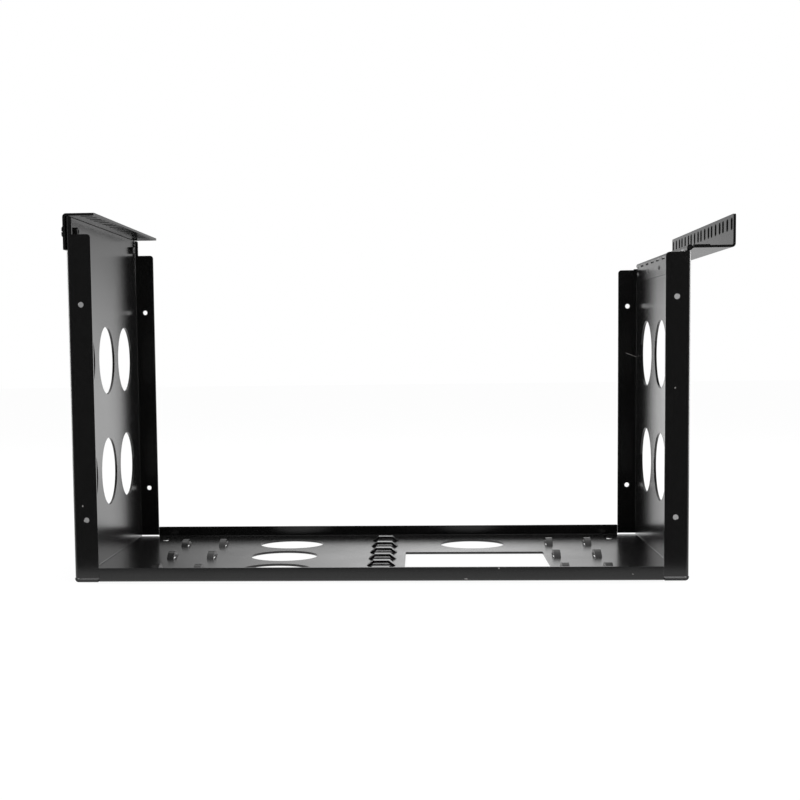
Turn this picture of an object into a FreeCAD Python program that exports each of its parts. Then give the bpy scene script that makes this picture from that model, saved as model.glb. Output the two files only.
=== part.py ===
import FreeCAD, Part
import math
import os

from FreeCAD import Vector

os.makedirs("parts", exist_ok=True)

# A hinged wall-mount rack bracket, lying on its wall plate.
# X runs across the rack, Y up the rack's height when it hangs, and Z away from the wall.
# The origin is the centre of the wall plate's back face.  All sizes are in millimetres.

# Rack standard
rack_unit = 44.45
rack_units = 6
unit_hole_offsets = (6.35, 22.225, 38.1)
rail_opening = 450.0
slot_row_spacing = 465.1
opening_shift = -1.2

# Sheet and folds
sheet = 2.0
bend = 1.0
corner_gap = 1.4
relief_width = 1.0
relief_extra = 0.8
corner_tab_setback = 0.5

# Chassis
chassis_width = 500.0
latch_wall_height = 298.6
flange_width = 20.0
flange_corner_radius = 3.0
bend_strip_width = 5.0
bend_strip_radius = 1.5
flange_notch_depth = 14.6
hinge_flange_drop = 0.95
lip_height = 11.6
lip_end_gap = 0.2
lip_corner_radius = 0.8

# Holes in the flanges
flange_hole_radius = 2.25
flange_hole_low = 51.4
flange_hole_top_inset = 35.1

# Round cable holes: a grid on the walls, a column and a single one in the wall plate
cable_hole_radius = 30.5
cable_hole_pitch = 77.0
cable_hole_shift = -3.8
wall_hole_low = 80.9
wall_hole_top_inset = 82.15
plate_column_x = -89.3
plate_single_x = 83.6
plate_single_y = 68.5

# Square cut-out for a wall box
cutout_x = 83.4
cutout_side = 125.0
cutout_rear_y = 15.65
cutout_corner_radius = 1.5

# Slots for the wall screws
wall_slot_side_inset = 32.5
wall_slot_end_inset = 26.2
wall_slot_length = 19.0
wall_slot_width = 5.0

# Cable-tie lances: small bridges pressed up out of the plate, open to the sides
bridge_shift_x = 0.5
lance_columns = (155.6, 191.8)
lance_first_inset = 49.65
lance_pitch = 76.2
lance_rows = 3
lance_length = 26.0
lance_rise = 5.5
lance_width = 6.0

# Middle bridges: a ladder of wider bridges, open towards the ends of the plate
bridge_shift_y = -2.5
bridge_pitch = 38.1
bridge_count = 6
bridge_length = 25.0
bridge_crest = 13.3
bridge_rise = 4.5
bridge_width = 8.5
lance_cut_gap = 0.3

# Rails
rail_seat_gap = 0.3
rail_top_gap = 0.4
rail_side_leg = 29.2
rail_corner_radius = 1.5
slot_length = 9.7
slot_width = 6.8
slot_corner_radius = 2.0

# Continuous hinge
hinge_reach = 35.0
hinge_end_gap = 0.35
pin_radius = 1.3
pin_clearance = 0.05
leaf_thickness = 0.9
leaf_width = 15.875
knuckle_count = 18
knuckle_gap = 0.3
barrel_gap = 0.3

# Hinge rivets
rivet_count = 5
rivet_end_inset = 11.4
rivet_inset = 8.7
rivet_radius = 1.6
rivet_clearance = 0.05
rivet_head_radius = 2.3
rivet_head_height = 1.0

# Thumb screws and clinch nuts of the latch rail
screw_radius = 1.95
screw_hole_radius = 2.15
screw_end_inset = 22.0
screw_drop = 10.6
thumb_head_radius = 4.5
thumb_head_height = 5.2
thumb_head_chamfer = 0.6
thumb_collar_radius = 3.6
thumb_collar_height = 0.8
thumb_slot_width = 1.2
thumb_slot_depth = 1.6
screw_tip_length = 0.8
screw_tip_recess = 1.0
nut_radius = 3.4
nut_height = 3.4
nut_chamfer = 0.5
nut_pilot_radius = 2.9
nut_pilot_length = 1.9
nut_clearance = 0.05

# Worked out from the sizes above
depth = rack_unit * rack_units
half_depth = depth / 2
half_width = chassis_width / 2
outer_bend = bend + sheet
flange_bottom = sheet + corner_gap
latch_rail_face = -(half_width + rail_seat_gap + sheet)
latch_rail_top = latch_wall_height + rail_top_gap + sheet
barrel_radius = pin_radius + pin_clearance + leaf_thickness
pin_height = latch_rail_top - hinge_reach
hinge_length = depth - 2 * (outer_bend + hinge_end_gap)
rivet_pitch = (hinge_length - 2 * rivet_end_inset) / (rivet_count - 1)
lip_half_length = half_width - flange_width - lip_end_gap
latch_flange_top = latch_wall_height - flange_notch_depth
wall_top_right = pin_height - barrel_radius - barrel_gap
hinge_flange_top = wall_top_right - hinge_flange_drop
flange_hole_x = half_width - (flange_width + sheet) / 2
flange_hole_heights = (flange_hole_low, hinge_flange_top - flange_hole_top_inset)
wall_hole_heights = (wall_hole_low, wall_top_right - wall_hole_top_inset)
wall_slot_x = half_width - wall_slot_side_inset
wall_slot_y = half_depth - wall_slot_end_inset
pin_x = half_width - sheet - leaf_thickness + barrel_radius
pin_to_outer_face = half_width - pin_x
left_rail_edge_x = opening_shift - rail_opening / 2
hinge_rail_leg = half_width - (opening_shift + rail_opening / 2)
left_slot_x = opening_shift - slot_row_spacing / 2
right_slot_x = opening_shift + slot_row_spacing / 2
screw_height = latch_wall_height - screw_drop
slot_ys = [
    unit * rack_unit + offset - half_depth
    for unit in range(rack_units)
    for offset in unit_hole_offsets
]
rivet_ys = [(i - (rivet_count - 1) / 2) * rivet_pitch for i in range(rivet_count)]
screw_ys = {"front": screw_end_inset - half_depth, "rear": half_depth - screw_end_inset}

PLANES = {
    "XY": lambda u, v, w: Vector(u, v, w),
    "XZ": lambda u, v, w: Vector(u, w, v),
    "YZ": lambda u, v, w: Vector(w, u, v),
}


def box(x0, x1, y0, y1, z0, z1):
    corner = Vector(min(x0, x1), min(y0, y1), min(z0, z1))
    return Part.makeBox(abs(x1 - x0), abs(y1 - y0), abs(z1 - z0), corner)


def rod(radius, start, direction, length):
    return Part.makeCylinder(radius, length, start, direction)


def rounded_wire(points, radii, place):
    """A closed outline through flat points, each corner rounded by its own radius."""
    count = len(points)
    ends = []
    for i in range(count):
        here = Vector(*points[i], 0)
        to_last = (Vector(*points[i - 1], 0) - here).normalize()
        to_next = (Vector(*points[(i + 1) % count], 0) - here).normalize()
        radius = radii[i]
        if radius <= 0:
            ends.append((here, None, here))
            continue
        half_angle = to_last.getAngle(to_next) / 2
        setback = radius / math.tan(half_angle)
        middle = (to_last + to_next).normalize() * (radius / math.sin(half_angle) - radius)
        ends.append((here + to_last * setback, here + middle, here + to_next * setback))
    edges = []
    for i in range(count):
        first, middle, last = ends[i]
        if middle is not None:
            arc = Part.Arc(place(first), place(middle), place(last))
            edges.append(arc.toShape())
        following = ends[(i + 1) % count][0]
        if (following - last).Length > 1e-6:
            edges.append(Part.LineSegment(place(last), place(following)).toShape())
    return Part.Wire(edges)


def prism(points, radii, plane, low, high):
    """A flat outline in one of the main planes, drawn out between two levels."""
    lift = PLANES[plane]
    wire = rounded_wire(points, radii, lambda p: lift(p.x, p.y, low))
    return Part.Face(wire).extrude(lift(0, 0, high) - lift(0, 0, low))


def folded_sheet(path, inside, plane, low, high):
    """A strip of sheet bent along a flat path of right angles.

    path follows the outer faces; inside is +1 where the sheet lies to the path's left.
    """
    points = [Vector(u, v, 0) for u, v in path]
    normals = []
    for first, second in zip(points, points[1:]):
        run = (second - first).normalize()
        normals.append(Vector(-run.y, run.x, 0) * inside)
    inner = [points[0] + normals[0] * sheet]
    for i in range(1, len(points) - 1):
        inner.append(points[i] + (normals[i - 1] + normals[i]) * sheet)
    inner.append(points[-1] + normals[-1] * sheet)
    bends = len(points) - 2
    outline = points + inner[::-1]
    radii = [0] + [outer_bend] * bends + [0, 0] + [bend] * bends + [0]
    return prism([(p.x, p.y) for p in outline], radii, plane, low, high)


def rectangle(u0, u1, v0, v1):
    return [(u0, v0), (u1, v0), (u1, v1), (u0, v1)]


def slot_prism(u, v, length_u, length_v, radius, plane, low, high):
    """A slot centred on a point, with rounded corners."""
    outline = rectangle(u - length_u / 2, u + length_u / 2, v - length_v / 2, v + length_v / 2)
    return prism(outline, [radius] * 4, plane, low, high)


def side_wall(top, flange_top):
    """The left wall with its front and rear flanges, above the corner relief."""
    channel = folded_sheet(
        [
            (-half_width + flange_width, -half_depth),
            (-half_width, -half_depth),
            (-half_width, half_depth),
            (-half_width + flange_width, half_depth),
        ],
        -1, "XY", flange_bottom, top,
    )
    outline = [
        (-half_width, flange_bottom),
        (-half_width + flange_width, flange_bottom),
        (-half_width + flange_width, flange_top),
        (-half_width + bend_strip_width, flange_top),
        (-half_width + bend_strip_width, top),
        (-half_width, top),
    ]
    strip_radius = min(bend_strip_radius, (top - flange_top) / 2)
    radii = [0, 0, flange_corner_radius, 0, strip_radius, 0]
    blank = prism(outline, radii, "XZ", -half_depth, half_depth)
    return channel.common(blank)


def corner_fold():
    """The fold between the wall plate and the left wall, square at its two ends."""
    path = [(-half_width, flange_bottom), (-half_width, 0), (-lip_half_length, 0)]
    end = half_depth - corner_tab_setback
    return folded_sheet(path, 1, "XZ", -end, end)


def wall_plate():
    """The flat plate that goes on the wall, with its front and rear lips."""
    path = [
        (-half_depth, lip_height),
        (-half_depth, 0),
        (half_depth, 0),
        (half_depth, lip_height),
    ]
    channel = folded_sheet(path, 1, "YZ", -lip_half_length, lip_half_length)
    outline = rectangle(-lip_half_length, lip_half_length, 0, lip_height)
    radii = [0, 0, lip_corner_radius, lip_corner_radius]
    return channel.common(prism(outline, radii, "XZ", -half_depth, half_depth))


def band_outline(length, crest, rise):
    """The side view of a pressed-up bridge, from one foot over the crest to the other."""
    foot = length / 2
    top = crest / 2
    slope = math.atan2(rise, foot - top)
    inner_foot = foot - sheet * math.tan(slope / 2)
    inner_top = foot - (rise - sheet + sheet / math.cos(slope)) / math.tan(slope)
    half = [(foot, 0), (foot, sheet), (top, sheet + rise)]
    under = [(inner_top, rise), (inner_foot, 0)]
    other_half = [(-u, v) for u, v in half[::-1]]
    other_under = [(-u, v) for u, v in under[::-1]]
    return half + other_half + other_under + under


def arch_face(length, rise, x):
    """The side view of a round-backed bridge, standing across X at x."""
    half = length / 2
    outer = (half ** 2 + rise ** 2) / (2 * rise)
    inner = outer - sheet
    centre = sheet + rise - outer
    inner_half = math.sqrt(inner ** 2 - centre ** 2)
    top = Part.Arc(
        Vector(x, -half, sheet), Vector(x, 0, centre + outer), Vector(x, half, sheet)
    )
    under = Part.Arc(
        Vector(x, inner_half, 0), Vector(x, 0, centre + inner), Vector(x, -inner_half, 0)
    )
    edges = [
        top.toShape(),
        Part.LineSegment(Vector(x, half, sheet), Vector(x, half, 0)).toShape(),
        Part.LineSegment(Vector(x, half, 0), Vector(x, inner_half, 0)).toShape(),
        under.toShape(),
        Part.LineSegment(Vector(x, -inner_half, 0), Vector(x, -half, 0)).toShape(),
        Part.LineSegment(Vector(x, -half, 0), Vector(x, -half, sheet)).toShape(),
    ]
    return Part.Face(Part.Wire(edges))


def bridges():
    """Every bridge of the wall plate, and the opening that each is pressed out of."""
    bands = []
    cuts = []
    reach = lance_width / 2
    for x in [bridge_shift_x + sign * column for column in lance_columns for sign in (-1, 1)]:
        for row in range(lance_rows):
            y = lance_first_inset - half_depth + row * lance_pitch
            band = arch_face(lance_length, lance_rise, x - reach).extrude(Vector(lance_width, 0, 0))
            bands.append(band.translated(Vector(0, y, 0)))
            gap = reach + lance_cut_gap
            end = lance_length / 2
            cuts.append(box(x - gap, x + gap, y - end, y + end, -1, sheet + 1))
    outline = band_outline(bridge_length, bridge_crest, bridge_rise)
    reach = bridge_width / 2
    for i in range(bridge_count):
        y = bridge_shift_y + (i - (bridge_count - 1) / 2) * bridge_pitch
        band = prism(outline, [0] * len(outline), "XZ", y - reach, y + reach)
        bands.append(band.translated(Vector(bridge_shift_x, 0, 0)))
        gap = reach + lance_cut_gap
        end = bridge_length / 2
        cuts.append(box(bridge_shift_x - end, bridge_shift_x + end, y - gap, y + gap, -1, sheet + 1))
    return bands, cuts


def chassis_holes():
    """Everything punched out of the flat blank."""
    cuts = []
    across = Vector(1, 0, 0)
    along = Vector(0, 1, 0)
    up = Vector(0, 0, 1)
    for row in (-1, 0, 1):
        y = cable_hole_shift + row * cable_hole_pitch
        for z in wall_hole_heights:
            for x in (-half_width - 1, half_width - sheet - 1):
                cuts.append(rod(cable_hole_radius, Vector(x, y, z), across, sheet + 2))
        cuts.append(rod(cable_hole_radius, Vector(plate_column_x, y, -1), up, sheet + 2))
    single = Vector(plate_single_x, plate_single_y, -1)
    cuts.append(rod(cable_hole_radius, single, up, sheet + 2))
    square = rectangle(
        cutout_x - cutout_side / 2, cutout_x + cutout_side / 2,
        cutout_rear_y - cutout_side, cutout_rear_y,
    )
    cuts.append(prism(square, [cutout_corner_radius] * 4, "XY", -1, sheet + 1))
    for x in (-flange_hole_x, flange_hole_x):
        for z in flange_hole_heights:
            for y in (-half_depth - 1, half_depth - sheet - 1):
                cuts.append(rod(flange_hole_radius, Vector(x, y, z), along, sheet + 2))
    for x in (-wall_slot_x, wall_slot_x):
        for y in (-wall_slot_y, wall_slot_y):
            end_radius = wall_slot_width / 2 * 0.9999
            cuts.append(
                slot_prism(x, y, wall_slot_width, wall_slot_length, end_radius, "XY", -1, sheet + 1)
            )
    for x in (-lip_half_length - relief_width, lip_half_length):
        inward = outer_bend + relief_extra
        cuts.append(box(x, x + relief_width, -half_depth - 1, inward - half_depth, -1, sheet + 1))
        cuts.append(box(x, x + relief_width, half_depth - inward, half_depth + 1, -1, sheet + 1))
    for y in screw_ys.values():
        hole = Vector(-half_width - 1, y, screw_height)
        cuts.append(rod(nut_pilot_radius + nut_clearance, hole, across, sheet + 2))
    for y in rivet_ys:
        hole = Vector(half_width - sheet - 1, y, pin_height - rivet_inset)
        cuts.append(rod(rivet_radius + rivet_clearance, hole, across, sheet + 2))
    return cuts


def chassis():
    """One folded sheet: wall plate, two side walls, four flanges, two lips and the bridges."""
    left = side_wall(latch_wall_height, latch_flange_top).fuse(corner_fold())
    right = side_wall(wall_top_right, hinge_flange_top).fuse(corner_fold())
    right = right.mirror(Vector(0, 0, 0), Vector(1, 0, 0))
    body = wall_plate().fuse([left, right]).removeSplitter()
    bands, openings = bridges()
    body = body.cut(chassis_holes() + openings)
    return body.fuse(bands).removeSplitter()


def latch_rail():
    """The left rail, which sits over the wall's top edge and is held by two thumb screws."""
    path = [
        (latch_rail_face, latch_rail_top - rail_side_leg),
        (latch_rail_face, latch_rail_top),
        (left_rail_edge_x, latch_rail_top),
    ]
    rail = folded_sheet(path, -1, "XZ", -half_depth, half_depth)
    outline = rectangle(latch_rail_face, left_rail_edge_x, -half_depth, half_depth)
    radii = [0, rail_corner_radius, rail_corner_radius, 0]
    blank = prism(outline, radii, "XY", latch_rail_top - rail_side_leg, latch_rail_top)
    rail = rail.common(blank)
    cuts = []
    low = latch_rail_top - sheet - 1
    for y in slot_ys:
        cuts.append(slot_prism(
            left_slot_x, y, slot_length, slot_width, slot_corner_radius, "XY", low, latch_rail_top + 1
        ))
    for y in screw_ys.values():
        hole = Vector(latch_rail_face - 1, y, screw_height)
        cuts.append(rod(screw_hole_radius, hole, Vector(1, 0, 0), sheet + 2))
    return rail.cut(cuts)


def hinge_rail():
    """The right rail, swung out a quarter turn, with its slotted leg standing up."""
    low = pin_height - pin_to_outer_face
    far = pin_x + hinge_reach
    top = low + hinge_rail_leg
    path = [(pin_x + barrel_radius + barrel_gap, low), (far, low), (far, top)]
    rail = folded_sheet(path, 1, "XZ", -half_depth, half_depth)
    outline = rectangle(-half_depth, half_depth, low, top)
    radii = [0, 0, rail_corner_radius, rail_corner_radius]
    rail = rail.common(prism(outline, radii, "YZ", pin_x, far))
    cuts = []
    slot_height = low + half_width - right_slot_x
    for y in slot_ys:
        cuts.append(slot_prism(
            y, slot_height, slot_width, slot_length, slot_corner_radius, "YZ", far - sheet - 1, far + 1
        ))
    for y in rivet_ys:
        hole = Vector(pin_x + rivet_inset, y, low - 1)
        cuts.append(rod(rivet_radius + rivet_clearance, hole, Vector(0, 0, 1), sheet + 2))
    return rail.cut(cuts)


def hinge_leaf(first_knuckle):
    """A hinge leaf hanging down from the pin, with every other knuckle rolled on its edge."""
    pitch = hinge_length / knuckle_count
    end = hinge_length / 2
    face = pin_x - barrel_radius
    foot = pin_height - leaf_width
    plate = box(face, face + leaf_thickness, -end, end, foot, pin_height)
    notch_foot = pin_height - barrel_radius - barrel_gap
    along = Vector(0, 1, 0)
    knuckles = []
    notches = []
    for i in range(knuckle_count):
        near = i * pitch - end
        far = near + pitch
        if i % 2 == first_knuckle:
            start = near + (knuckle_gap / 2 if i > 0 else 0)
            stop = far - (knuckle_gap / 2 if i < knuckle_count - 1 else 0)
            knuckles.append(rod(barrel_radius, Vector(pin_x, start, pin_height), along, stop - start))
        else:
            start = near - (knuckle_gap / 2 if i > 0 else 1)
            stop = far + (knuckle_gap / 2 if i < knuckle_count - 1 else 1)
            notches.append(box(face - 1, pin_x, start, stop, notch_foot, pin_height + 1))
    leaf = plate.cut(notches).fuse(knuckles)
    bore = rod(pin_radius + pin_clearance, Vector(pin_x, -end - 1, pin_height), along, 2 * end + 2)
    cuts = [bore]
    for y in rivet_ys:
        start = Vector(face - 1, y, pin_height - rivet_inset)
        cuts.append(rod(rivet_radius + rivet_clearance, start, Vector(1, 0, 0), leaf_thickness + 2))
    return leaf.cut(cuts).removeSplitter()


def swing_out(shape):
    """Turns a hanging piece up over the pin, then outwards a quarter turn with the open rail."""
    centre = Vector(pin_x, 0, pin_height)
    moved = shape.mirror(centre, Vector(0, 0, 1))
    moved.rotate(centre, Vector(0, 1, 0), 90)
    return moved


def rivet(y):
    """A flush rivet through leaf and sheet, with a low domed head on the leaf."""
    face = pin_x - barrel_radius
    height = pin_height - rivet_inset
    length = leaf_thickness + sheet
    shank = rod(rivet_radius, Vector(face, y, height), Vector(1, 0, 0), length)
    ball_radius = (rivet_head_radius ** 2 + rivet_head_height ** 2) / (2 * rivet_head_height)
    centre = Vector(face + ball_radius - rivet_head_height, y, height)
    ball = Part.makeSphere(ball_radius, centre)
    side = 2 * rivet_head_radius
    head = ball.common(box(face - side, face, y - side, y + side, height - side, height + side))
    return shank.fuse(head).removeSplitter()


def thumb_screw(y):
    """A slotted thumb screw: round head, collar, shank and pointed tip inside the nut."""
    across = Vector(1, 0, 0)
    face = latch_rail_face
    start = face - thumb_collar_height - thumb_head_height
    head = rod(thumb_head_radius, Vector(start, y, screw_height), across, thumb_head_height)
    rims = []
    for edge in head.Edges:
        if edge.Closed and len(edge.Vertexes) == 1 and edge.BoundBox.XLength < 0.01:
            rims.append(edge)
    head = head.makeChamfer(thumb_head_chamfer, rims)
    slot = box(
        start - 1, start + thumb_slot_depth,
        y - thumb_head_radius, y + thumb_head_radius,
        screw_height - thumb_slot_width / 2, screw_height + thumb_slot_width / 2,
    )
    collar_start = Vector(start + thumb_head_height, y, screw_height)
    collar = rod(thumb_collar_radius, collar_start, across, thumb_collar_height)
    nut_end = -half_width + sheet + nut_height
    tip_start = nut_end - screw_tip_recess - screw_tip_length
    shank = rod(screw_radius, Vector(face, y, screw_height), across, tip_start - face)
    tip = Part.makeCone(
        screw_radius, screw_radius / 2, screw_tip_length, Vector(tip_start, y, screw_height), across
    )
    return head.cut(slot).fuse([collar, shank, tip]).removeSplitter()


def clinch_nut(y):
    """A round nut on the inside of the latch wall, its pilot set into the wall's hole."""
    across = Vector(1, 0, 0)
    face = -half_width + sheet
    body = rod(nut_radius, Vector(face, y, screw_height), across, nut_height - nut_chamfer)
    rim = Part.makeCone(
        nut_radius, nut_radius - nut_chamfer, nut_chamfer,
        Vector(face + nut_height - nut_chamfer, y, screw_height), across,
    )
    pilot = rod(
        nut_pilot_radius, Vector(face - nut_pilot_length, y, screw_height), across, nut_pilot_length
    )
    bore_start = Vector(face - sheet - 1, y, screw_height)
    bore = rod(screw_radius + nut_clearance, bore_start, across, sheet + nut_height + 2)
    return body.fuse([rim, pilot]).cut(bore).removeSplitter()


def export(name, shape):
    solids = shape.Solids
    print(name, len(solids), shape.isValid(), round(sum(s.Volume for s in solids), 1))
    shape.exportStep("parts/" + name + ".step")


export("chassis_body", chassis())
export("latch_rail", latch_rail())
export("hinge_rail", hinge_rail())
export("hinge_wall_leaf", hinge_leaf(0))
export("hinge_rail_leaf", swing_out(hinge_leaf(1)))
pin_start = Vector(pin_x, -hinge_length / 2, pin_height)
export("hinge_pin", rod(pin_radius, pin_start, Vector(0, 1, 0), hinge_length))
for number, y in enumerate(rivet_ys, start=1):
    export("wall_rivet_%d" % number, rivet(y))
    export("rail_rivet_%d" % number, swing_out(rivet(y)))
for end, y in screw_ys.items():
    export("latch_screw_" + end, thumb_screw(y))
    export("clinch_nut_" + end, clinch_nut(y))
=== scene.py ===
import math

import bpy
from mathutils import Matrix, Vector


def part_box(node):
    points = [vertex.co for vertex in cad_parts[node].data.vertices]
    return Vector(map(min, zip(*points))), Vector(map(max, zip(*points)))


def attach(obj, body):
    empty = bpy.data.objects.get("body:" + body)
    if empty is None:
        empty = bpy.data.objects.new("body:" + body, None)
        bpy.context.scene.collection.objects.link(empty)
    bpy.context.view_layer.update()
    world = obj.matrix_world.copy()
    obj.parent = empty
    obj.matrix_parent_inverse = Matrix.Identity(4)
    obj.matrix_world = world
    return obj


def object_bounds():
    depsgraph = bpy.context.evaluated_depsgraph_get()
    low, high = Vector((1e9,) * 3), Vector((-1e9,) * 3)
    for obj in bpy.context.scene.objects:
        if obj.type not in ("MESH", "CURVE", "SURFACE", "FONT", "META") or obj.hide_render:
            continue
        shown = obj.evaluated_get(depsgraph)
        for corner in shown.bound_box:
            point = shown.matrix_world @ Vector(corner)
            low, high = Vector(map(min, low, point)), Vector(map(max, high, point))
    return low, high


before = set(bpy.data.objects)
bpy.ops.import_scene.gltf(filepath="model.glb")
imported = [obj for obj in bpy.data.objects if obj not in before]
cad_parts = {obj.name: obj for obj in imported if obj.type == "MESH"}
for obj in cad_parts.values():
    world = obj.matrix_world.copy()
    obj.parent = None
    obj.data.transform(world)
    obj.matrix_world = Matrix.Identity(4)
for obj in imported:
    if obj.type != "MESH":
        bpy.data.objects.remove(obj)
cad_low, cad_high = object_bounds()


# Folded chassis
# One 2 mm steel sheet: wall plate, side walls, flanges and lips, with punched holes and
# pressed bridges.  It is powder coated black after folding, so the coat is thick and even,
# with a fine orange peel, a little dust, and a few marks from handling.
def powder_grain_group():
    """The coat's fine texture: shade, roughness and height, with sparse pale dust."""
    group = bpy.data.node_groups.new("powder grain", "ShaderNodeTree")
    face = group.interface
    face.new_socket(name="Position", in_out="INPUT", socket_type="NodeSocketVector")
    for name, value in (("Shade", 0.012), ("Gloss", 0.3), ("Grain per metre", 900.0), ("Dust", 0.5)):
        socket = face.new_socket(name=name, in_out="INPUT", socket_type="NodeSocketFloat")
        socket.default_value = value
    face.new_socket(name="Color", in_out="OUTPUT", socket_type="NodeSocketColor")
    face.new_socket(name="Roughness", in_out="OUTPUT", socket_type="NodeSocketFloat")
    face.new_socket(name="Height", in_out="OUTPUT", socket_type="NodeSocketFloat")
    nodes = group.nodes
    links = group.links
    entry = nodes.new("NodeGroupInput")
    leave = nodes.new("NodeGroupOutput")
    peel = nodes.new("ShaderNodeTexNoise")
    peel.inputs["Detail"].default_value = 3.0
    peel.inputs["Roughness"].default_value = 0.6
    links.new(entry.outputs["Position"], peel.inputs["Vector"])
    links.new(entry.outputs["Grain per metre"], peel.inputs["Scale"])
    cloud = nodes.new("ShaderNodeTexNoise")
    cloud.inputs["Scale"].default_value = 18.0
    cloud.inputs["Detail"].default_value = 4.0
    links.new(entry.outputs["Position"], cloud.inputs["Vector"])
    specks = nodes.new("ShaderNodeTexVoronoi")
    specks.inputs["Scale"].default_value = 420.0
    links.new(entry.outputs["Position"], specks.inputs["Vector"])
    chosen = nodes.new("ShaderNodeMapRange")
    chosen.inputs["From Min"].default_value = 0.975
    chosen.inputs["From Max"].default_value = 1.0
    links.new(specks.outputs["Color"], chosen.inputs["Value"])
    near = nodes.new("ShaderNodeMapRange")
    near.inputs["From Min"].default_value = 0.13
    near.inputs["From Max"].default_value = 0.05
    links.new(specks.outputs["Distance"], near.inputs["Value"])
    dust = nodes.new("ShaderNodeMath")
    dust.operation = "MULTIPLY"
    links.new(chosen.outputs["Result"], dust.inputs[0])
    links.new(near.outputs["Result"], dust.inputs[1])
    dusty = nodes.new("ShaderNodeMath")
    dusty.operation = "MULTIPLY"
    links.new(dust.outputs["Value"], dusty.inputs[0])
    links.new(entry.outputs["Dust"], dusty.inputs[1])
    spread = nodes.new("ShaderNodeMapRange")
    spread.inputs["From Min"].default_value = 0.25
    spread.inputs["From Max"].default_value = 0.75
    spread.inputs["To Min"].default_value = 0.75
    spread.inputs["To Max"].default_value = 1.3
    links.new(peel.outputs["Fac"], spread.inputs["Value"])
    shade = nodes.new("ShaderNodeMath")
    shade.operation = "MULTIPLY"
    links.new(entry.outputs["Shade"], shade.inputs[0])
    links.new(spread.outputs["Result"], shade.inputs[1])
    pale = nodes.new("ShaderNodeMath")
    pale.operation = "MULTIPLY_ADD"
    pale.inputs[1].default_value = 0.25
    links.new(dusty.outputs["Value"], pale.inputs[0])
    links.new(shade.outputs["Value"], pale.inputs[2])
    color = nodes.new("ShaderNodeCombineColor")
    for channel in ("Red", "Green", "Blue"):
        links.new(pale.outputs["Value"], color.inputs[channel])
    links.new(color.outputs["Color"], leave.inputs["Color"])
    cloudy = nodes.new("ShaderNodeMapRange")
    cloudy.inputs["From Min"].default_value = 0.3
    cloudy.inputs["From Max"].default_value = 0.7
    cloudy.inputs["To Min"].default_value = -0.015
    cloudy.inputs["To Max"].default_value = 0.015
    links.new(cloud.outputs["Fac"], cloudy.inputs["Value"])
    rough = nodes.new("ShaderNodeMath")
    rough.operation = "ADD"
    links.new(entry.outputs["Gloss"], rough.inputs[0])
    links.new(cloudy.outputs["Result"], rough.inputs[1])
    rougher = nodes.new("ShaderNodeMath")
    rougher.operation = "MULTIPLY_ADD"
    rougher.inputs[1].default_value = 0.3
    links.new(dusty.outputs["Value"], rougher.inputs[0])
    links.new(rough.outputs["Value"], rougher.inputs[2])
    links.new(rougher.outputs["Value"], leave.inputs["Roughness"])
    links.new(peel.outputs["Fac"], leave.inputs["Height"])
    return group


powder_grain = powder_grain_group()


def powder_coat(name, shade, gloss, grain, dust, peel_height):
    """A black finish; returns the material and the nodes that marks are added to."""
    material = bpy.data.materials.new(name)
    material.use_nodes = True
    nodes = material.node_tree.nodes
    links = material.node_tree.links
    shader = nodes["Principled BSDF"]
    shader.inputs["IOR"].default_value = 1.5
    place = nodes.new("ShaderNodeTexCoord")
    coat = nodes.new("ShaderNodeGroup")
    coat.node_tree = powder_grain
    coat.inputs["Shade"].default_value = shade
    coat.inputs["Gloss"].default_value = gloss
    coat.inputs["Grain per metre"].default_value = grain
    coat.inputs["Dust"].default_value = dust
    links.new(place.outputs["Object"], coat.inputs["Position"])
    links.new(coat.outputs["Color"], shader.inputs["Base Color"])
    links.new(coat.outputs["Roughness"], shader.inputs["Roughness"])
    bump = nodes.new("ShaderNodeBump")
    bump.inputs["Strength"].default_value = 1.0
    bump.inputs["Distance"].default_value = peel_height
    links.new(coat.outputs["Height"], bump.inputs["Height"])
    links.new(bump.outputs["Normal"], shader.inputs["Normal"])
    return material, place, coat, shader


def dress(node, material):
    """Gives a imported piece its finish."""
    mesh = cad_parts[node].data
    mesh.materials.clear()
    mesh.materials.append(material)


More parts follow.
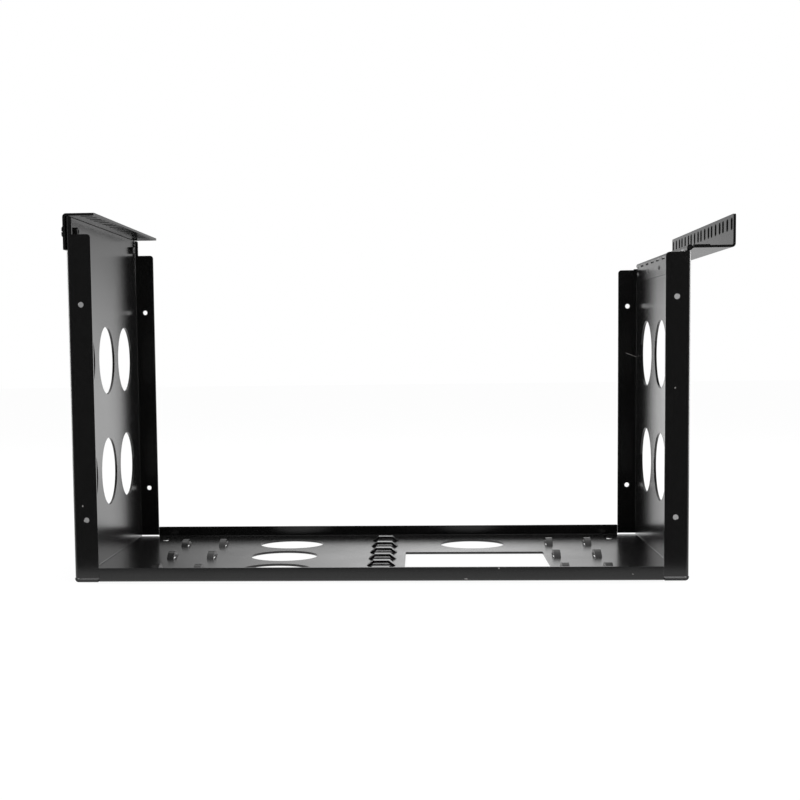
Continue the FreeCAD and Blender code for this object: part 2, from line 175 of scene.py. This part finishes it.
def scuff_group():
    """A mask along a straight scratch, or a round chip where both ends are the same."""
    group = bpy.data.node_groups.new("scuff", "ShaderNodeTree")
    face = group.interface
    for name in ("Position", "Start", "End"):
        face.new_socket(name=name, in_out="INPUT", socket_type="NodeSocketVector")
    face.new_socket(name="Half width", in_out="INPUT", socket_type="NodeSocketFloat")
    face.new_socket(name="Mask", in_out="OUTPUT", socket_type="NodeSocketFloat")
    nodes = group.nodes
    links = group.links
    entry = nodes.new("NodeGroupInput")
    leave = nodes.new("NodeGroupOutput")

    def vector_math(operation, first, second):
        node = nodes.new("ShaderNodeVectorMath")
        node.operation = operation
        links.new(first, node.inputs[0])
        links.new(second, node.inputs[1])
        return node

    offset = vector_math("SUBTRACT", entry.outputs["Position"], entry.outputs["Start"])
    run = vector_math("SUBTRACT", entry.outputs["End"], entry.outputs["Start"])
    along = vector_math("DOT_PRODUCT", offset.outputs["Vector"], run.outputs["Vector"])
    length = vector_math("DOT_PRODUCT", run.outputs["Vector"], run.outputs["Vector"])
    safe = nodes.new("ShaderNodeMath")
    safe.operation = "ADD"
    safe.inputs[1].default_value = 1e-9
    links.new(length.outputs["Value"], safe.inputs[0])
    share = nodes.new("ShaderNodeMath")
    share.operation = "DIVIDE"
    share.use_clamp = True
    links.new(along.outputs["Value"], share.inputs[0])
    links.new(safe.outputs["Value"], share.inputs[1])
    foot = nodes.new("ShaderNodeVectorMath")
    foot.operation = "SCALE"
    links.new(run.outputs["Vector"], foot.inputs[0])
    links.new(share.outputs["Value"], foot.inputs["Scale"])
    away = vector_math("SUBTRACT", offset.outputs["Vector"], foot.outputs["Vector"])
    distance = nodes.new("ShaderNodeVectorMath")
    distance.operation = "LENGTH"
    links.new(away.outputs["Vector"], distance.inputs[0])
    wobble = nodes.new("ShaderNodeTexNoise")
    wobble.inputs["Scale"].default_value = 900.0
    links.new(entry.outputs["Position"], wobble.inputs["Vector"])
    width = nodes.new("ShaderNodeMath")
    width.operation = "MULTIPLY"
    links.new(entry.outputs["Half width"], width.inputs[0])
    links.new(wobble.outputs["Fac"], width.inputs[1])
    twice = nodes.new("ShaderNodeMath")
    twice.operation = "MULTIPLY"
    twice.inputs[1].default_value = 2.0
    links.new(width.outputs["Value"], twice.inputs[0])
    inside = nodes.new("ShaderNodeMath")
    inside.operation = "LESS_THAN"
    links.new(distance.outputs["Value"], inside.inputs[0])
    links.new(twice.outputs["Value"], inside.inputs[1])
    links.new(inside.outputs["Value"], leave.inputs["Mask"])
    return group


chassis_coat, chassis_place, chassis_grain, chassis_shader = powder_coat(
    "chassis powder coat", shade=0.0048, gloss=0.22, grain=1100.0, dust=0.3, peel_height=6e-6
)
scuff = scuff_group()
# One long scratch on the right rear flange, then small chips, as start, end and half width
chassis_marks = (
    ((0.2377, 0.13135, 0.1817), (0.2480, 0.13135, 0.1776), 0.00028),
    ((0.2380, -0.13335, 0.1550), (0.2380, -0.13335, 0.1550), 0.0006),
    ((-0.2420, -0.13335, 0.0630), (-0.2420, -0.13335, 0.0630), 0.0006),
    ((0.0977, -0.13335, 0.0105), (0.0980, -0.13335, 0.0104), 0.0005),
    ((0.2050, -0.13290, 0.0055), (0.2054, -0.13290, 0.0054), 0.0006),
    ((0.0706, -0.1331, 0.0018), (0.0722, -0.1331, 0.0018), 0.0006),
)
marks_so_far = None
for start, end, half_width in chassis_marks:
    mark = chassis_coat.node_tree.nodes.new("ShaderNodeGroup")
    mark.node_tree = scuff
    mark.inputs["Start"].default_value = start
    mark.inputs["End"].default_value = end
    mark.inputs["Half width"].default_value = half_width
    chassis_coat.node_tree.links.new(chassis_place.outputs["Object"], mark.inputs["Position"])
    if marks_so_far is None:
        marks_so_far = mark.outputs["Mask"]
        continue
    larger = chassis_coat.node_tree.nodes.new("ShaderNodeMath")
    larger.operation = "MAXIMUM"
    chassis_coat.node_tree.links.new(marks_so_far, larger.inputs[0])
    chassis_coat.node_tree.links.new(mark.outputs["Mask"], larger.inputs[1])
    marks_so_far = larger.outputs["Value"]
bare = chassis_coat.node_tree.nodes.new("ShaderNodeMix")
bare.data_type = "RGBA"
bare_steel = (0.22, 0.215, 0.21, 1.0)
bare.inputs["B"].default_value = bare_steel
chassis_coat.node_tree.links.new(marks_so_far, bare.inputs["Factor"])
chassis_coat.node_tree.links.new(chassis_grain.outputs["Color"], bare.inputs["A"])
chassis_coat.node_tree.links.new(bare.outputs["Result"], chassis_shader.inputs["Base Color"])
dress("chassis_body", chassis_coat)


# Latch rail
# The left rail is an angle of the same sheet, coated apart from the chassis.  Its long
# slotted leg faces the user and the short leg hangs over the outside of the wall.
latch_coat = powder_coat(
    "latch rail powder coat", shade=0.0048, gloss=0.23, grain=1100.0, dust=0.3, peel_height=6e-6
)[0]
dress("latch_rail", latch_coat)


# Swinging rail
# The right rail is the same angle the other way round, carried by the hinge.  It stands
# swung open, so its slotted leg faces the middle.
swing_coat = powder_coat(
    "swing rail powder coat", shade=0.0048, gloss=0.25, grain=1100.0, dust=0.3, peel_height=6e-6
)[0]
dress("hinge_rail", swing_coat)


# Continuous hinge
# Two rolled leaves of 0.9 mm steel with alternating knuckles, painted thinner than the
# folded sheets, on a blackened pin that shows only at its ends and in the knuckle gaps.
leaf_coat = powder_coat(
    "hinge leaf paint", shade=0.0045, gloss=0.24, grain=1500.0, dust=0.2, peel_height=4e-6
)[0]
dress("hinge_wall_leaf", leaf_coat)
dress("hinge_rail_leaf", leaf_coat)
pin_oxide = powder_coat(
    "hinge pin black oxide", shade=0.012, gloss=0.34, grain=2000.0, dust=0.1, peel_height=6e-6
)[0]
dress("hinge_pin", pin_oxide)


# Hinge rivets
# Ten low-headed rivets, five in each leaf, blackened rather than coated, so their heads
# read as dark dots on the paint.
rivet_black = powder_coat(
    "rivet black oxide", shade=0.006, gloss=0.38, grain=2500.0, dust=0.0, peel_height=5e-6
)[0]
for number in range(1, 6):
    dress("wall_rivet_%d" % number, rivet_black)
    dress("rail_rivet_%d" % number, rivet_black)


# Thumb screws
# Two round-headed screws clamp the latch rail to the wall.  The head's rim is knurled
# with straight ridges so that fingers can turn it, and a slot across it takes a driver.
screw_black = powder_coat(
    "thumb screw black", shade=0.01, gloss=0.26, grain=2200.0, dust=0.1, peel_height=6e-6
)[0]
dress("latch_screw_front", screw_black)
dress("latch_screw_rear", screw_black)


def points_object(name, places):
    """A mesh of bare points, one for each place that a pattern is set at."""
    mesh = bpy.data.meshes.new(name)
    mesh.from_pydata([tuple(p) for p in places], [], [])
    piece = bpy.data.objects.new(name, mesh)
    bpy.context.scene.collection.objects.link(piece)
    return piece


def grown(name, places, tree, values):
    """Runs a Geometry Nodes tree on the points and keeps its result as a plain mesh."""
    seed_piece = points_object(name + " places", places)
    modifier = seed_piece.modifiers.new("pattern", "NODES")
    modifier.node_group = tree
    for item in tree.interface.items_tree:
        if item.item_type == "SOCKET" and item.in_out == "INPUT" and item.name in values:
            modifier[item.identifier] = values[item.name]
    bpy.context.view_layer.update()
    graph = bpy.context.evaluated_depsgraph_get()
    mesh = bpy.data.meshes.new_from_object(seed_piece.evaluated_get(graph), depsgraph=graph)
    seed_piece.modifiers.remove(modifier)
    bpy.data.objects.remove(seed_piece)
    mesh.name = name
    piece = bpy.data.objects.new(name, mesh)
    bpy.context.scene.collection.objects.link(piece)
    return piece


def knurl_tree(material):
    """Straight ridges round a head whose axis runs along X, at every point given."""
    tree = bpy.data.node_groups.new("knurled rim", "GeometryNodeTree")
    face = tree.interface
    face.new_socket(name="Geometry", in_out="INPUT", socket_type="NodeSocketGeometry")
    face.new_socket(name="Ridges", in_out="INPUT", socket_type="NodeSocketInt").default_value = 40
    for name, value in (("Rim radius", 0.0045), ("Ridge length", 0.004), ("Ridge size", 0.0002)):
        socket = face.new_socket(name=name, in_out="INPUT", socket_type="NodeSocketFloat")
        socket.default_value = value
    face.new_socket(name="Geometry", in_out="OUTPUT", socket_type="NodeSocketGeometry")
    nodes = tree.nodes
    links = tree.links
    entry = nodes.new("NodeGroupInput")
    leave = nodes.new("NodeGroupOutput")
    ring = nodes.new("GeometryNodeMeshCircle")
    links.new(entry.outputs["Ridges"], ring.inputs["Vertices"])
    links.new(entry.outputs["Rim radius"], ring.inputs["Radius"])
    ridge = nodes.new("GeometryNodeMeshCylinder")
    ridge.inputs["Vertices"].default_value = 3
    links.new(entry.outputs["Ridge size"], ridge.inputs["Radius"])
    links.new(entry.outputs["Ridge length"], ridge.inputs["Depth"])
    step = nodes.new("ShaderNodeMath")
    step.operation = "DIVIDE"
    step.inputs[0].default_value = 2 * math.pi
    links.new(entry.outputs["Ridges"], step.inputs[1])
    index = nodes.new("GeometryNodeInputIndex")
    turn = nodes.new("ShaderNodeMath")
    turn.operation = "MULTIPLY"
    links.new(index.outputs["Index"], turn.inputs[0])
    links.new(step.outputs["Value"], turn.inputs[1])
    angle = nodes.new("ShaderNodeCombineXYZ")
    links.new(turn.outputs["Value"], angle.inputs["Z"])
    ridges = nodes.new("GeometryNodeInstanceOnPoints")
    links.new(ring.outputs["Mesh"], ridges.inputs["Points"])
    links.new(ridge.outputs["Mesh"], ridges.inputs["Instance"])
    links.new(angle.outputs["Vector"], ridges.inputs["Rotation"])
    tip_over = nodes.new("GeometryNodeTransform")
    tip_over.inputs["Rotation"].default_value = (0.0, math.pi / 2, 0.0)
    links.new(ridges.outputs["Instances"], tip_over.inputs["Geometry"])
    heads = nodes.new("GeometryNodeInstanceOnPoints")
    links.new(entry.outputs["Geometry"], heads.inputs["Points"])
    links.new(tip_over.outputs["Geometry"], heads.inputs["Instance"])
    real = nodes.new("GeometryNodeRealizeInstances")
    links.new(heads.outputs["Instances"], real.inputs["Geometry"])
    paint = nodes.new("GeometryNodeSetMaterial")
    paint.inputs["Material"].default_value = material
    links.new(real.outputs["Geometry"], paint.inputs["Geometry"])
    links.new(paint.outputs["Geometry"], leave.inputs["Geometry"])
    return tree


screw_centres = []
for end in ("front", "rear"):
    low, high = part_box("latch_screw_" + end)
    screw_centres.append(Vector((low.x, (low.y + high.y) / 2, (low.z + high.z) / 2)))
head_radius = (high.z - low.z) / 2
rim_start = 0.0008
rim_length = 0.0036
knurl = grown(
    "latch_screw_knurl",
    [centre + Vector((rim_start + rim_length / 2, 0, 0)) for centre in screw_centres],
    knurl_tree(screw_black),
    {"Ridges": 44, "Rim radius": head_radius, "Ridge length": rim_length, "Ridge size": 0.00022},
)
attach(knurl, "frame")


# Clinch nuts
# Each screw runs into a round steel nut whose pilot is squeezed into the wall.  The last
# turns of its thread show in the bore past the screw's tip.
nut_black = powder_coat(
    "clinch nut black", shade=0.011, gloss=0.34, grain=2200.0, dust=0.1, peel_height=6e-6
)[0]
dress("clinch_nut_front", nut_black)
dress("clinch_nut_rear", nut_black)


def thread_tree(material):
    """A few turns of thread along X, standing in from a bore, at every point given."""
    tree = bpy.data.node_groups.new("nut thread", "GeometryNodeTree")
    face = tree.interface
    face.new_socket(name="Geometry", in_out="INPUT", socket_type="NodeSocketGeometry")
    for name, value in (("Bore radius", 0.002), ("Turns", 2.0), ("Pitch", 0.0007), ("Crest", 0.0002)):
        socket = face.new_socket(name=name, in_out="INPUT", socket_type="NodeSocketFloat")
        socket.default_value = value
    face.new_socket(name="Geometry", in_out="OUTPUT", socket_type="NodeSocketGeometry")
    nodes = tree.nodes
    links = tree.links
    entry = nodes.new("NodeGroupInput")
    leave = nodes.new("NodeGroupOutput")
    rise = nodes.new("ShaderNodeMath")
    rise.operation = "MULTIPLY"
    links.new(entry.outputs["Turns"], rise.inputs[0])
    links.new(entry.outputs["Pitch"], rise.inputs[1])
    spiral = nodes.new("GeometryNodeCurveSpiral")
    spiral.inputs["Resolution"].default_value = 24
    links.new(entry.outputs["Turns"], spiral.inputs["Rotations"])
    links.new(entry.outputs["Bore radius"], spiral.inputs["Start Radius"])
    links.new(entry.outputs["Bore radius"], spiral.inputs["End Radius"])
    links.new(rise.outputs["Value"], spiral.inputs["Height"])
    section = nodes.new("GeometryNodeCurvePrimitiveCircle")
    section.inputs["Resolution"].default_value = 4
    links.new(entry.outputs["Crest"], section.inputs["Radius"])
    swept = nodes.new("GeometryNodeCurveToMesh")
    swept.inputs["Fill Caps"].default_value = True
    links.new(spiral.outputs["Curve"], swept.inputs["Curve"])
    links.new(section.outputs["Curve"], swept.inputs["Profile Curve"])
    tip_over = nodes.new("GeometryNodeTransform")
    tip_over.inputs["Rotation"].default_value = (0.0, math.pi / 2, 0.0)
    links.new(swept.outputs["Mesh"], tip_over.inputs["Geometry"])
    nuts = nodes.new("GeometryNodeInstanceOnPoints")
    links.new(entry.outputs["Geometry"], nuts.inputs["Points"])
    links.new(tip_over.outputs["Geometry"], nuts.inputs["Instance"])
    real = nodes.new("GeometryNodeRealizeInstances")
    links.new(nuts.outputs["Instances"], real.inputs["Geometry"])
    paint = nodes.new("GeometryNodeSetMaterial")
    paint.inputs["Material"].default_value = material
    links.new(real.outputs["Geometry"], paint.inputs["Geometry"])
    links.new(paint.outputs["Geometry"], leave.inputs["Geometry"])
    return tree


thread_start = 0.00125
thread_places = []
for end in ("front", "rear"):
    low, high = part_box("clinch_nut_" + end)
    thread_places.append(Vector((high.x - thread_start, (low.y + high.y) / 2, (low.z + high.z) / 2)))
thread = grown(
    "clinch_nut_thread",
    thread_places,
    thread_tree(nut_black),
    {"Bore radius": 0.00198, "Turns": 1.5, "Pitch": 0.0007, "Crest": 0.00018},
)
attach(thread, "frame")


# Studio
# A pale floor under the bracket, white surroundings, a soft lamp overhead and
# a strip at each side, a glowing panel behind, and a black card in front that keeps the
# faces towards the user dark.
def background_rays(tree):
    """A mask of the rays that see the plain background: camera, glossy and transmission rays."""
    path = tree.nodes.new("ShaderNodeLightPath")
    seen = path.outputs["Is Camera Ray"]
    for ray in ("Is Glossy Ray", "Is Transmission Ray"):
        either = tree.nodes.new("ShaderNodeMath")
        either.operation = "MAXIMUM"
        tree.links.new(seen, either.inputs[0])
        tree.links.new(path.outputs[ray], either.inputs[1])
        seen = either.outputs["Value"]
    return seen


floor_mesh = bpy.data.meshes.new("studio_floor")
reach = 6.0
floor_corners = [(-reach, -reach, 0), (reach, -reach, 0), (reach, reach, 0), (-reach, reach, 0)]
floor_mesh.from_pydata(floor_corners, [], [(0, 1, 2, 3)])
floor = bpy.data.objects.new("studio_floor", floor_mesh)
bpy.context.scene.collection.objects.link(floor)
floor_gap = 0.0002
floor.location.z = cad_low.z - floor_gap
floor_paint = bpy.data.materials.new("pale floor")
floor_paint.use_nodes = True
floor_nodes = floor_paint.node_tree.nodes
floor_links = floor_paint.node_tree.links
floor_nodes["Principled BSDF"].inputs["Base Color"].default_value = (0.9, 0.9, 0.9, 1.0)
floor_nodes["Principled BSDF"].inputs["Roughness"].default_value = 0.9
floor_glow = floor_nodes.new("ShaderNodeEmission")
floor_share = floor_nodes.new("ShaderNodeMath")
floor_share.operation = "MULTIPLY"
floor_share.inputs[1].default_value = 0.9
floor_links.new(background_rays(floor_paint.node_tree), floor_share.inputs[0])
floor_mix = floor_nodes.new("ShaderNodeMixShader")
floor_links.new(floor_share.outputs["Value"], floor_mix.inputs["Fac"])
floor_links.new(floor_nodes["Principled BSDF"].outputs["BSDF"], floor_mix.inputs[1])
floor_links.new(floor_glow.outputs["Emission"], floor_mix.inputs[2])
floor_links.new(floor_mix.outputs["Shader"], floor_nodes["Material Output"].inputs["Surface"])
floor_mesh.materials.append(floor_paint)

world = bpy.data.worlds.new("studio")
bpy.context.scene.world = world
world.use_nodes = True
sky_nodes = world.node_tree.nodes
sky_links = world.node_tree.links
sky = sky_nodes["Background"]
sky.inputs["Color"].default_value = (1.0, 1.0, 1.0, 1.0)
level = sky_nodes.new("ShaderNodeMapRange")
level.inputs["To Min"].default_value = 0.9
level.inputs["To Max"].default_value = 1.0
sky_links.new(background_rays(world.node_tree), level.inputs["Value"])
sky_links.new(level.outputs["Result"], sky.inputs["Strength"])


def reflected_board(name, half_width, y, bottom, top):
    """An upright board across the scene that only reflections see."""
    mesh = bpy.data.meshes.new(name)
    foot = [(-half_width, y, bottom), (half_width, y, bottom)]
    head = [(half_width, y, top), (-half_width, y, top)]
    mesh.from_pydata(foot + head, [], [(0, 1, 2, 3)])
    board = bpy.data.objects.new(name, mesh)
    bpy.context.scene.collection.objects.link(board)
    board.visible_camera = False
    board.visible_diffuse = False
    board.visible_transmission = False
    board.visible_shadow = False
    return board


card = reflected_board("studio_black_card", half_width=0.36, y=-0.186, bottom=0.001, top=1.2)
card_paint = bpy.data.materials.new("black card")
card_paint.use_nodes = True
card_shader = card_paint.node_tree.nodes["Principled BSDF"]
card_shader.inputs["Base Color"].default_value = (0.03, 0.03, 0.03, 1.0)
card_shader.inputs["Roughness"].default_value = 1.0
card.data.materials.append(card_paint)

panel = reflected_board("studio_back_panel", half_width=0.9, y=0.9, bottom=0.0, top=0.6)
panel_paint = bpy.data.materials.new("back panel")
panel_paint.use_nodes = True
panel_nodes = panel_paint.node_tree.nodes
panel_links = panel_paint.node_tree.links
panel_nodes.remove(panel_nodes["Principled BSDF"])
panel_place = panel_nodes.new("ShaderNodeTexCoord")
panel_axes = panel_nodes.new("ShaderNodeSeparateXYZ")
panel_links.new(panel_place.outputs["Object"], panel_axes.inputs["Vector"])
across = panel_nodes.new("ShaderNodeMapRange")
across.inputs["From Min"].default_value = -0.5
across.inputs["From Max"].default_value = 0.5
panel_links.new(panel_axes.outputs["X"], across.inputs["Value"])
fade = panel_nodes.new("ShaderNodeValToRGB")
fade.color_ramp.elements.new(0.6)
for stop, position, value in zip(fade.color_ramp.elements, (0.08, 0.6, 0.9), (0.1, 0.9, 0.35)):
    stop.position = position
    stop.color = (value, value, value, 1.0)
panel_links.new(across.outputs["Result"], fade.inputs["Fac"])
height_fade = panel_nodes.new("ShaderNodeMapRange")
height_fade.inputs["From Min"].default_value = 0.13
height_fade.inputs["From Max"].default_value = 0.38
height_fade.inputs["To Min"].default_value = 2.0
height_fade.inputs["To Max"].default_value = 0.7
panel_links.new(panel_axes.outputs["Z"], height_fade.inputs["Value"])
panel_glow = panel_nodes.new("ShaderNodeEmission")
panel_links.new(fade.outputs["Color"], panel_glow.inputs["Color"])
panel_links.new(height_fade.outputs["Result"], panel_glow.inputs["Strength"])
panel_links.new(panel_glow.outputs["Emission"], panel_nodes["Material Output"].inputs["Surface"])
panel.data.materials.append(panel_paint)


def soft_lamp(name, place, target, width, length, power):
    """A softbox that faces a point on the bracket."""
    lamp = bpy.data.lights.new(name, "AREA")
    lamp.shape = "RECTANGLE"
    lamp.size = width
    lamp.size_y = length
    lamp.energy = power
    holder = bpy.data.objects.new(name, lamp)
    bpy.context.scene.collection.objects.link(holder)
    aim = Vector(place) - Vector(target)
    holder.matrix_world = Matrix.Translation(place) @ aim.to_track_quat("Z", "Y").to_matrix().to_4x4()
    holder.visible_camera = False
    return holder


overhead = soft_lamp("overhead softbox", (0.2, 0.2, 1.6), (0.0, 0.0, 0.1), 1.4, 1.4, power=8.0)
overhead.visible_glossy = False
soft_lamp("right strip", (1.25, 0.30, 0.5), (0.25, 0.0, 0.15), 0.6, 1.2, power=20.0)
soft_lamp("left strip", (-1.25, 0.30, 0.5), (-0.25, 0.0, 0.15), 0.6, 1.2, power=16.0)

camera_data = bpy.data.cameras.new("camera")
camera_data.sensor_width = 36.0
camera_data.lens = 62.44
camera_data.shift_x = 0.0710
camera_data.shift_y = 0.0740
camera = bpy.data.objects.new("camera", camera_data)
bpy.context.scene.collection.objects.link(camera)
yaw = -0.0563
pitch = 0.0796
roll = -0.0122
ahead = Vector((
    math.sin(yaw) * math.cos(pitch), math.cos(yaw) * math.cos(pitch), -math.sin(pitch)
))
level_right = Vector((math.cos(yaw), -math.sin(yaw), 0.0))
level_up = level_right.cross(ahead)
camera_right = level_right * math.cos(roll) + level_up * math.sin(roll)
camera_up = level_up * math.cos(roll) - level_right * math.sin(roll)
turned = Matrix((camera_right, camera_up, -ahead)).transposed().to_4x4()
camera_place = (0.035636, -1.251407, 0.189425)
camera.matrix_world = Matrix.Translation(camera_place) @ turned
bpy.context.scene.camera = camera
bpy.context.scene.view_settings.view_transform = "Standard"
